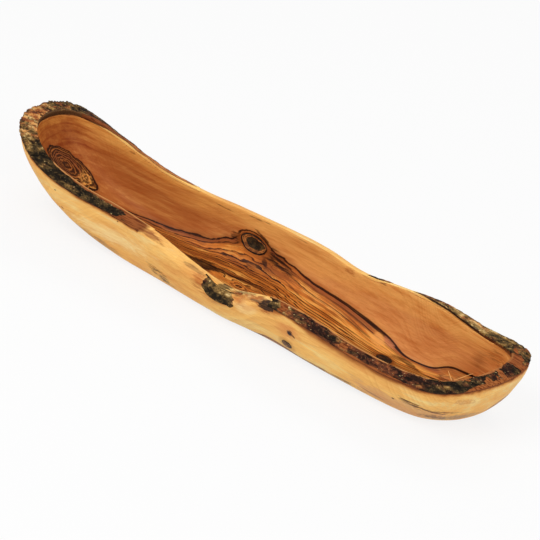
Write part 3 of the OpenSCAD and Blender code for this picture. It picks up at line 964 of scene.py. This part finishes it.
barkLooks = dict(
    bark_left_end=barkLook(
        [.9, .88, .93, 1.05, 1], [-.06, .03, .1, .08, -.12], [.3, .55, .6, .5, .1], [.2, .12, .16, .35, .5],
        rough=1, long=1, arris=0.1, overhang=0.1),
    bark_front_left=barkLook(
        [.95, .86, .74, .62, .4], [-.1, -.1, -.09, -.09, -.08], [.15, .1, .15, .2, .5],
        [.5, .5, .55, .5, .36], rough=0.7, long=1.2, bare=[1.3, 1.3, 1.3, 1.3, 1.1], arris=0.6,
        cover=[2, 2, 1.6, 1, .9, -.3, -2], begin=[-1, -.3, -.05, .06, .15]),
    bark_front_middle=barkLook(
        [1.1, 1.1], [-.06, -.1, -.08, -.06, -.06], [.5, .1, .1, .2, .5], [.6, .6, .6, .7, .8],
        rough=0.3, long=1.2, bare=[-2, -2], begin=[-3, -3], reach=(0, 0.76),
        hang=[.1, .6, .45, .2, .25, .95, 0], draw=1.2),
    bark_front_right=barkLook(
        [.8, .86, .84, .88, 1], [-.18, .06, -.06, -.12, 0, -.08, -.02, -.1, -.06, -.12],
        [.1, .7, .7, .8, .4], [.46, .56, .54, .54, .5], rough=0.6, long=1.8, arris=0.6, overhang=-0.1,
        cover=[1, .2, .6, 1, .4, .9, .4, .8, .6, 1, 1], begin=[-.2, -.1, .05, .15, .1, -.2], draw=1.2,
        woodEnds=False),
    bark_right_end=barkLook(
        [1, .95, .9, 1.1, 1.15], [-.1, -.08, -.06, -.05, -.02], [.4, .3, .6, .4, .2], [.5, .6, .6, .5, .5],
        rough=0.8, long=1.5, arris=0.2, overhang=-0.6, cover=[1, .4, .1, -.2, 1],
        begin=[-.2, .3, .12, -.3, -.3]),
    bark_back_right=barkLook(
        [1.15, .98, .9, .7], [-.02, .07, .09, .06], [.2, .4, .5, .5], [.4, .08, .08, .08],
        rough=0.5, long=1.5, bare=[1.4, 1.2, 1.14, .8], overhang=-0.2, cover=[1, .5]),
    bark_back_nub=barkLook(
        [.7, .9, .7], [-.03, 0, 0], [.5, .4, .5], [.7, .7, .8],
        rough=0.6, long=1.2, bare=[.8, .9, .8], cover=[.6, .6], reach=(0.25, 1)),
    bark_back_left=barkLook(
        [.12, .2, .34, .6, .95], [-.1, -.08, -.06, -.08, -.06], [.8, .8, .6, .4, .3], [.8, .8, .7, .5, .36],
        rough=0.4, long=1.5, bare=[.6, .9, .97, 1.06, 1.4], cover=[1, 1]),
)
barkMesh = dict(
    # in mm: between points, into the wood, above it, the crust's height and how much of that lies lower
    spacing=0.45, sink=0.5, lift=0.1, crustHeight=1.1, crustLow=0.35,
    sideRows=6, skirtRows=12,
    # mm from a free end: where wood begins to show, where it is all wood, and where the dark seam ends
    woodFrom=7, woodOnly=2, seamFrom=3,
    # the seam's width, as a share of the rim's
    seam=0.1,
)


def plateau(value):
    # flat-topped scales with steep sides
    return smoothStep(-0.12, 0.18, value) - 0.5


# loose fibres on the right tip's inner arris: angle and share across, then steps in mm, and radius
barkFibres = [
    dict(start=(151.2, 0.9), steps=[(-1.6, 1.3, 1.6), (-2.6, 2.1, 1.3), (-2.6, 2.3, 1.1)], radius=0.5),
    dict(start=(151.4, 0.9), steps=[(0.4, 1.2, 1.8), (2.6, 4.6, 0.9), (2.8, 4.9, 0.7), (2.8, 4.9, 0.6)],
         radius=0.45),
]


def withFibres(points, faces, data):
    spokes = 6
    turn = np.linspace(0, 2 * np.pi, spokes, endpoint=False)
    for fibre in barkFibres:
        angle, share = fibre["start"]
        base = naturalEdge(np.array([angle], float), np.array([share]))[0]
        path = base + np.cumsum([(0, 0, -2), *fibre["steps"]], axis=0)
        ahead = unit(np.gradient(path, axis=0))
        across = unit(np.cross(ahead, (0.3, 1, 0.2)))
        other = np.cross(ahead, across)
        thin = fibre["radius"] * np.linspace(1, 0.4, len(path))[:, None, None]
        ring = across[:, None] * np.cos(turn)[:, None] + other[:, None] * np.sin(turn)[:, None]
        first = len(points)
        tube = (path[:, None] + ring * thin).reshape(-1, 3)
        end = first + len(tube)
        ends = [list(range(first, first + spokes)), list(range(end - spokes, end))[::-1]]
        faces = faces + gridFaces(len(path), spokes, True, first) + ends
        points = np.concatenate([points, tube])
        own = dict.fromkeys(data, 0.0)
        own.update(cut=0.95, across=1, arris=1, crust=0.7)
        data = {key: np.r_[value, np.full(len(tube), own[key])] for key, value in data.items()}
    return points, faces, data


def crustRelief(edge, long):
    # scales, ridges and pits of several sizes
    crust = 0.55 * plateau(waves(edge, (9 * long, 4.5, 4.5)))
    crust = crust + 0.6 * plateau(waves(edge + 33, (3.8 * long, 2.2, 2.2)))
    ridged = 0.35 * (ridges(edge + 20, (5 * long, 2.5, 2.5)) - 0.4)
    crust = crust + (ridged + 0.3 / long * waves(edge + 9, (1.5, 1.2, 1.2)))
    return crust + 0.22 / long * plateau(waves(edge + 61, (1.8, 1.2, 1.2)))


def woodAt(a, w):
    # the wood's surface: across the rim, and for w below 0 down the outer wall
    down = outerWall(a, 1 + np.minimum(w, 0) * 0.2)
    return np.where(w[..., None] < 0, down, rimWood(a, np.maximum(w, 0)))


def plateSection(low, high, across, skirt):
    # up the outside, over the top, down the inside and back underneath: the place across the rim, how far
    # up from the wood, and how far it leans outwards
    side = barkMesh["sideRows"]
    w = np.r_[np.full(side, low), np.linspace(low, high, across), np.full(side, high),
              np.linspace(high, low, across // 2)[1:-1]]
    rise = np.r_[np.linspace(0, 1, side + 1)[:-1], np.ones(across), np.linspace(1, 0, side + 1)[1:],
                 np.zeros(across // 2 - 2)]
    outward = np.zeros(len(w))
    outward[:side] = np.sin(np.pi * 0.5 * np.linspace(0.2, 1, side))
    outward[side:side + across] = np.clip(1 - np.arange(across) / 3, 0, 1)
    if skirt:
        # a thin skin first, from its lower edge up to the arris
        w = np.r_[np.linspace(-1, 0, skirt, endpoint=False), w]
        rise = np.r_[np.linspace(0, 1, skirt, endpoint=False) ** 0.5, np.ones(side), rise[side:]]
        outward = np.r_[np.zeros(skirt + side), outward[side:] * 0]
    return w, rise, outward


def barkPiece(node):
    first, last, thickness, _, freeStart, freeEnd = barkPlates[node]
    look = barkLooks[node]
    fine, run = alongRim(first, last, 2000)
    count = int(run[-1] / barkMesh["spacing"]) + 1
    a = np.interp(np.linspace(0, run[-1], count), run, fine)
    low, high = look["reach"]
    width = np.linalg.norm(naturalEdge(a, 0 * a + high) - naturalEdge(a, 0 * a + low), axis=1)
    across = max(int(np.median(width) / barkMesh["spacing"]), 8)
    side = barkMesh["sideRows"]
    skirt = barkMesh["skirtRows"] if max(look["hang"]) else 0
    w, rise, outward = plateSection(low, high, across, skirt)
    turn, over = np.meshgrid(a, w, indexing="ij")
    share = np.broadcast_to(np.linspace(0, 1, count)[:, None], turn.shape)
    along = share * run[-1]

    def table(key):
        return alongTable(look[key], share)

    over = np.where(over < 0, over * table("hang"), over)
    under = woodAt(turn, over)
    depth = plateDepth(node, turn)
    depth = depth * smoothStep(-0.35, 0, over) + 0.7 * smoothStep(-0.01, -0.2, over)
    ahead = woodAt(turn + 0.3, over) - under
    inside = woodAt(turn, over + 0.02) - under
    up = -unit(np.cross(inside, ahead))
    out = unit(-inside * (1, 1, 0))
    edge = np.where(over[..., None] < 0, under, naturalEdge(turn, np.maximum(over, 0)))
    ragged = waves(edge + 11, (7, 5, 5)) + 0.5 * waves(edge + 5, (2.4, 2, 2))
    patchy = waves(edge + 47, (14, 9, 9))
    # where the crust begins and where it gives way to the smooth strip
    limit = table("crust") + 0.08 * ragged + 0.12 * patchy
    crusted = smoothStep(limit + 0.06, limit - 0.02, over) * smoothStep(0.3, 0.75, rise)
    begin = table("begin") + 0.06 * ragged + 0.06 * patchy
    crusted = crusted * smoothStep(-0.06, 0.04, over - begin)
    # smooth gaps in the crust
    spread = waves(edge + 83, (15, 6, 6)) + 0.3 * ragged + table("cover")
    crusted = crusted * smoothStep(-0.1, 0.1, spread)
    bareFrom = table("bare") + 0.04 * ragged + 0.06 * patchy
    column = np.arange(len(w)) - skirt
    far = over + 0.3 * (1 - rise) * (column >= side + across)
    inner = skirt + side + across
    crusted[:, inner:] *= mix(0.15, 0.9, smoothStep(1, 1.1, table("crust")[:, inner:]))
    # free ends thin out raggedly
    fade = np.ones(turn.shape)
    ending = np.full(turn.shape, wood["farBark"])
    for free, away in ((freeStart, along), (freeEnd, run[-1] - along)):
        if free:
            fade = fade * smoothStep(-1, look["draw"], away + ragged * look["draw"] * 0.6)
            ending = np.minimum(ending, away)
    top = under + up * (rise * (depth * fade + barkMesh["lift"]) - (1 - rise) * barkMesh["sink"])[..., None]
    top = top + out * (outward * (look["overhang"] + 0.2 * ragged) * fade)[..., None]
    crust = crustRelief(edge, look["long"])
    size = look["rough"] * np.clip(thickness / 3.4, 0.5, 1) * smoothStep(-0.9, -0.1, over)
    size = size * np.clip(depth / 1.5, 0.2, 1)
    push = unit(up * rise[None, :, None] + 0.6 * out * outward[None, :, None])
    raised = (crust - barkMesh["crustLow"]) * barkMesh["crustHeight"]
    top = top + push * (raised * size * crusted * fade)[..., None]
    smooth = 0.12 * waves(edge + 4, (9, 3, 3)) * (1 - crusted) * (rise > 0.5)
    top = top + up * smooth[..., None]
    if node == "bark_back_left":
        # its edge runs in shallow scallops
        top = top + up * (0.7 * waves(edge * (1, 0, 0) + 3, (17, 9, 9)) * fade * rise)[..., None]
    rows, columns = len(a), len(w)
    faces = gridFaces(rows, columns, True)
    cap = [list(range(columns)), list(range((rows - 1) * columns, rows * columns))[::-1]]
    sides = np.where((column < side) | (column >= side + across), 1 - rise, 0) * (column >= 0)
    bare = smoothStep(-0.04, 0.04, far - bareFrom)
    if look["woodEnds"]:
        torn = ending + 1.5 * ragged
        bare = np.maximum(bare, smoothStep(barkMesh["woodFrom"], barkMesh["woodOnly"], torn))
    if skirt:
        # a ragged triangle that points down to the right, and a thin band above it
        below = high - over
        torn = 0.05 * ragged + 0.04 * patchy
        left = smoothStep(-0.04, 0.03, share - 0.04 - 0.12 * below ** 4 + torn)
        slant = 0.74 + 0.1 * smoothStep(0, 0.5, below) + 0.03 * below
        right = smoothStep(0.04, -0.03, share - slant + torn)
        band = smoothStep(0.56, 0.66, over + torn)
        crusted = crusted * np.maximum(left * right, 0.7 * band)
    seam = np.clip(1 - np.abs(far - bareFrom) / barkMesh["seam"], 0, 1) * (ending > barkMesh["seamFrom"])
    outer = (column < side) * (column >= 0) * (not skirt) * 1.0
    data = dict(crust=np.clip(0.5 + 0.5 * crust, 0, 1), crusted=crusted,
                across=np.clip((over - low) / (high - low), 0.2 if skirt else 0, 1),
                side=np.broadcast_to(sides, turn.shape), outer=np.broadcast_to(outer, turn.shape),
                arris=look["arris"] + 0 * turn, bare=bare, seam=seam)
    data.update((key, table(key)) for key in ("light", "warm", "cut"))
    data = {key: np.asarray(value).reshape(-1) for key, value in data.items()}
    top, faces = top.reshape(-1, 3), faces + cap
    if node == "bark_right_end":
        top, faces, data = withFibres(top, faces, data)
    return newMesh(node + "_crust", top, faces, data)


barkTones = dict(
    cool=[(34, 27, 17), (86, 66, 38), (150, 114, 62), (222, 190, 130)],
    warm=[(40, 22, 16), (98, 54, 34), (156, 88, 46), (214, 150, 84)],
    strip=[(60, 40, 26), (150, 84, 42), (212, 138, 74)],
    hollow=(18, 12, 8), stripFibre=(140, 92, 62), stripArrisAndHighlight=(226, 164, 96), stripSide=(150, 104, 76),
    stripOuter=(124, 66, 32), seam=(74, 40, 20),
)


def barkMaterial():
    n = Nodes("branchBark")
    tones = barkTones
    place = n.place()
    crust, crusted, side = (n.attribute(k) for k in ("crust", "crusted", "side"))
    outer, across = (n.attribute(k) for k in ("outer", "across"))
    light, warm, cut = (n.attribute(k) for k in ("light", "warm", "cut"))
    arris, bare, seam = (n.attribute(k) for k in ("arris", "bare", "seam"))
    wide = n.noise(place, (16, 7, 7))
    mid = n.noise(place, (4.6, 3.2, 3.2), 3, 0.6)
    small = n.noise(place, (1.5, 1.1, 1.1), 3, 0.65)
    tone = n.plus(n.times(wide, 0.42), n.times(mid, 0.36))
    tone = n.plus(tone, n.times(small, 0.22))
    tone = n.times(n.minus(tone, 0.5), 3.0)
    tone = n.plus(tone, n.plus(0.5, n.times(light, 2.2)))
    cool, warmer = (n.ramp(tone, list(zip((0.18, 0.42, 0.64, 0.88), tones[k]))) for k in ("cool", "warm"))
    heat = n.shaken(warm, n.noise(place, (14, 5, 5), 3, 0.6), 2)
    colour = n.blend(n.step(heat, 0.3, 0.7), cool, warmer)
    # pale flecks, dark hollows between the scales, partly the bark's own dark fissures and partly painted
    # shade, and a dark outer edge
    fleck = n.noise(place, (2.0, 1.5, 1.5), 2, 0.6)
    colour = n.blend(n.step(fleck, 0.67, 0.71, 0.7), colour, tones["cool"][3])
    colour = n.blend(n.step(crust, 0.45, 0.15, 0.8), colour, tones["hollow"])
    colour = n.blend(n.step(across, 0.16, 0.02, 0.45), colour, tones["warm"][0])
    # the smooth strip, cut through the bark, and its inner arris, partly pale tan and partly a painted
    # highlight
    strip = n.ramp(cut, list(zip((0.1, 0.5, 0.9), tones["strip"])))
    fibre = n.noise(place, (14, 1.0, 1.0), 3, 0.65)
    strip = n.darker(n.step(fibre, 0.42, 0.64, 0.85), strip, tones["stripFibre"])
    inner = n.step(across, 0.86, 0.97)
    strip = n.blend(n.times(inner, arris), strip, tones["stripArrisAndHighlight"])
    strip = n.darker(n.step(side, 0.05, 0.6, 0.4), strip, tones["stripSide"])
    strip = n.blend(n.times(outer, 0.6), strip, tones["stripOuter"])
    # wood shows beyond it, past a thin dark line
    streak, _, sap = sapTones(n, place)
    sap = n.darker(n.step(streak, 0.44, 0.7, 0.34), sap, woodLook["grainShade"])
    nearby = [spot for spot in woodMarks if spot["at"][1] < -35 and abs(spot["at"][0] + 25) < 62]
    sap = stainedAndShaded(n, place, sap, nearby)
    strip = n.blend(bare, strip, sap)
    strip = n.blend(n.step(seam, 0.3, 0.8, 0.8), strip, tones["seam"])
    share = n.shaken(crusted, small, 0.6)
    colour = n.blend(n.step(share, 0.4, 0.6), strip, colour)
    height = n.plus(mid, n.times(small, 0.6))
    height = n.times(height, n.plus(crusted, 0.12))
    return n.surface(colour, 0.85, 0.12, n.bump(height, 0.0006, 0.9))


bark = barkMaterial()
for node in barkPlates:
    piece = barkPiece(node)
    piece.data.materials.append(bark)
    pressed(piece, node)
    print("bark:", node, len(piece.data.polygons), "faces")


# knots

# each knot's rings, how far out its dark core reaches, whether brown wood lies round it, and its colours
knotLooks = dict(
    wall_knot=dict(rings=2, core=0, rim=1, tones=[(30, 22, 12), (66, 50, 26), (108, 80, 42)]),
    floor_knot=dict(rings=3, core=0, rim=0, tones=[(18, 10, 6), (30, 17, 10), (110, 60, 28)]),
    front_knot_upper=dict(rings=1, core=0.78, rim=0,
                          tones=[(150, 88, 46), (206, 136, 78), (232, 168, 104)]),
    front_knot_lower=dict(rings=2, core=0, rim=0, tones=[(58, 38, 22), (118, 80, 46), (176, 128, 78)]),
)
knotTones = dict(
    brown=[(128, 72, 32), (182, 112, 52)], grit=(120, 90, 60), line=(24, 14, 8), crack=(20, 12, 7),
    core=(26, 15, 8), rim=(34, 18, 8), ring=(18, 10, 5),
)
knotMesh = dict(rings=30, spokes=84, depth=3)


def knotPiece(node):
    knot = knots[node]
    middle, facing, along, side = knotAxes(node)
    rings, spokes, depth = (knotMesh[k] for k in ("rings", "spokes", "depth"))
    around = np.linspace(0, 2 * math.pi, spokes, endpoint=False)
    share, turn = np.meshgrid(np.linspace(0.02, 1, rings), around, indexing="ij")
    wobble = 1 + 0.05 * np.sin(2 * turn + 1) + 0.04 * np.sin(3 * turn) - 0.03 * np.cos(5 * turn)
    reach = knot["radius"] * wobble * share
    points = middle + along * (np.cos(turn) * reach * knot["long"])[..., None]
    points = points + side * (np.sin(turn) * reach * knot["short"])[..., None]
    # the face follows the wall's own curve and stands a hair proud of it
    bend = {"wall_knot": 0.012, "floor_knot": 0.0}.get(node, -0.012)
    relief = 0.2 * (1 - share ** 2) + 0.14 * waves(points, (3, 3, 3)) * (1 - share ** 4)
    points = points + facing * (bend * reach * reach + 0.2 + relief)[..., None]
    wall = points[-1] - facing * depth
    ends = [[middle + facing * 0.4], [middle - facing * depth]]
    vertices = np.concatenate([points.reshape(-1, 3), wall, *ends])
    faces = gridFaces(rings + 1, spokes, True)
    top, bottom, base = len(vertices) - 2, len(vertices) - 1, rings * spokes
    faces += [[top, (i + 1) % spokes, i] for i in range(spokes)]
    faces += [[bottom, base + i, base + (i + 1) % spokes] for i in range(spokes)]
    data = dict(share=np.r_[share.reshape(-1), np.full(spokes, 1.0), 0, 0])
    data["lower"] = (vertices - middle) @ np.array([-0.5, 0, -0.87]) / knot["radius"]
    return newMesh(node + "_heart", vertices, faces, data)


def knotMaterial(node):
    n = Nodes(node + "Material")
    look = knotLooks[node]
    place = n.place()
    share = n.attribute("share")
    wob = n.minus(n.noise(place, (5, 4, 4), 3, 0.6), 0.5)
    phase = n.math("FRACT", n.plus(n.times(share, look["rings"]), n.times(wob, 1.4)))
    blotch = n.noise(place, (5, 3.4, 3.4), 3, 0.6)
    colour = n.ramp(blotch, list(zip((0.36, 0.52, 0.7), look["tones"])))
    grit = n.noise(place, (1.2, 1, 1), 3, 0.65)
    colour = n.darker(n.step(grit, 0.45, 0.7, 0.5), colour, knotTones["grit"])
    lines = n.times(n.step(phase, 0.72, 0.92), n.step(phase, 1.0, 0.96))
    colour = n.blend(n.times(lines, 0.75), colour, knotTones["line"])
    cracks = n.noise(place, (2.6, 1.2, 1.2), 2, 0.5, 1.0)
    colour = n.blend(n.step(n.gap(cracks, 0.5), 0.02, 0.005, 0.7), colour, knotTones["crack"])
    if look["core"]:
        near = n.plus(share, n.times(wob, 0.5))
        colour = n.blend(n.step(near, look["core"], look["core"] - 0.1, 0.95), colour, knotTones["core"])
    else:
        if look["rim"]:
            # brown wood with fine dark lines round the core, widest below it
            lower = n.attribute("lower")
            inner = n.math("MULTIPLY_ADD", lower, 0.26, n.math("MULTIPLY_ADD", wob, 0.3, share))
            brown = n.ramp(blotch, list(zip((0.4, 0.6), knotTones["brown"])))
            colour = n.blend(n.step(inner, 0.6, 0.68), colour, brown)
            between = n.gap(n.math("FRACT", n.times(inner, 7)), 0.5)
            between = n.times(n.step(between, 0.2, 0.1), n.step(inner, 0.58, 0.62))
            colour = n.blend(n.times(between, 0.85), colour, knotTones["rim"])
        # a black ring round it
        edge = n.math("MULTIPLY_ADD", n.attribute("lower"), 0.05, n.math("MULTIPLY_ADD", wob, 0.12, share))
        colour = n.blend(n.step(edge, 0.9, 0.95), colour, knotTones["ring"])
    return n.surface(colour, 0.5, 0.25, n.bump(n.plus(phase, blotch), 0.0002, 0.6))


for node in knots:
    piece = knotPiece(node)
    piece.data.materials.append(knotMaterial(node))
    pressed(piece, node)
print("knots: set")


# floor, light and camera

# the floor's reach and how far it lies below the foot, in mm, its own glow, and the light of the air
studio = dict(reach=3000, drop=0.2, glow=0.82, air=0.55)


def studioFloor():
    reach = studio["reach"]
    corners = [(-reach, -reach, 0), (reach, -reach, 0), (reach, reach, 0), (-reach, reach, 0)]
    floor = newMesh("studioFloor", corners, [[0, 1, 2, 3]])
    n = Nodes("palePaper")
    n.shader.inputs["Base Color"].default_value = (0.8, 0.8, 0.8, 1)
    n.shader.inputs["Roughness"].default_value = 0.9
    n.shader.inputs["Specular IOR Level"].default_value = 0.0
    # seen directly it is near white, and the bowl's shadow still shows on it
    glow = n.add("ShaderNodeEmission")
    glow.inputs["Strength"].default_value = 1
    seen = n.add("ShaderNodeLightPath")
    share = n.math("MAXIMUM", seen.outputs["Is Camera Ray"], seen.outputs["Is Glossy Ray"])
    share = n.times(share, studio["glow"])
    mixed = n.add("ShaderNodeMixShader")
    n.join(share, mixed.inputs[0])
    n.join(n.shader.outputs[0], mixed.inputs[1])
    n.join(glow.outputs[0], mixed.inputs[2])
    n.join(mixed.outputs[0], n.out.inputs[0])
    floor.data.materials.append(n.material)
    floor.location.z = -studio["drop"] * mm


studioFloor()

world = bpy.data.worlds.new("studioAir")
scene.world = world
world.use_nodes = True
air = world.node_tree
air.nodes["Background"].inputs[0].default_value = (1, 1, 1, 1)
air.nodes["Background"].inputs[1].default_value = studio["air"]


def softLamp(name, at, size, power):
    lamp = bpy.data.lights.new(name, "AREA")
    lamp.shape = "RECTANGLE"
    lamp.size, lamp.size_y = size
    lamp.energy = power
    holder = bpy.data.objects.new(name, lamp)
    scene.collection.objects.link(holder)
    holder.location = at
    holder.rotation_euler = (Vector((0, 0, 0.03)) - Vector(at)).to_track_quat("-Z", "Y").to_euler()


softLamp("keyLamp", (-0.5, -0.7, 1.2), (0.9, 0.7), 9)
softLamp("fillLamp", (0.9, -0.5, 0.9), (0.8, 0.8), 4)
softLamp("backLamp", (0.1, 0.9, 0.9), (1.0, 0.4), 3)

# the photograph's own view
view = dict(azimuth=22, elevation=35, distance=1.5, target=(0, 0, 0.03), focal=1925, roll=13,
            frame=540, middle=(255.7, 269.5))


def photoCamera():
    az, el, roll = (math.radians(view[k]) for k in ("azimuth", "elevation", "roll"))
    back = Vector((math.sin(az) * math.cos(el), -math.cos(az) * math.cos(el), math.sin(el)))
    right = Vector((math.cos(az), math.sin(az), 0))
    up = back.cross(right)
    right, up = (right * math.cos(roll) + up * math.sin(roll), up * math.cos(roll) - right * math.sin(roll))
    lens = bpy.data.cameras.new("photoCamera")
    lens.sensor_width = 36
    lens.lens = view["focal"] / view["frame"] * lens.sensor_width
    half = view["frame"] / 2
    lens.shift_x = (half - view["middle"][0]) / view["frame"]
    lens.shift_y = (view["middle"][1] - half) / view["frame"]
    lens.clip_start, lens.clip_end = 0.05, 20
    holder = bpy.data.objects.new("photoCamera", lens)
    scene.collection.objects.link(holder)
    turn = Matrix((right, up, back)).transposed().to_4x4()
    holder.matrix_world = Matrix.Translation(Vector(view["target"]) + back * view["distance"]) @ turn
    scene.camera = holder


photoCamera()
scene.view_settings.view_transform = "Standard"
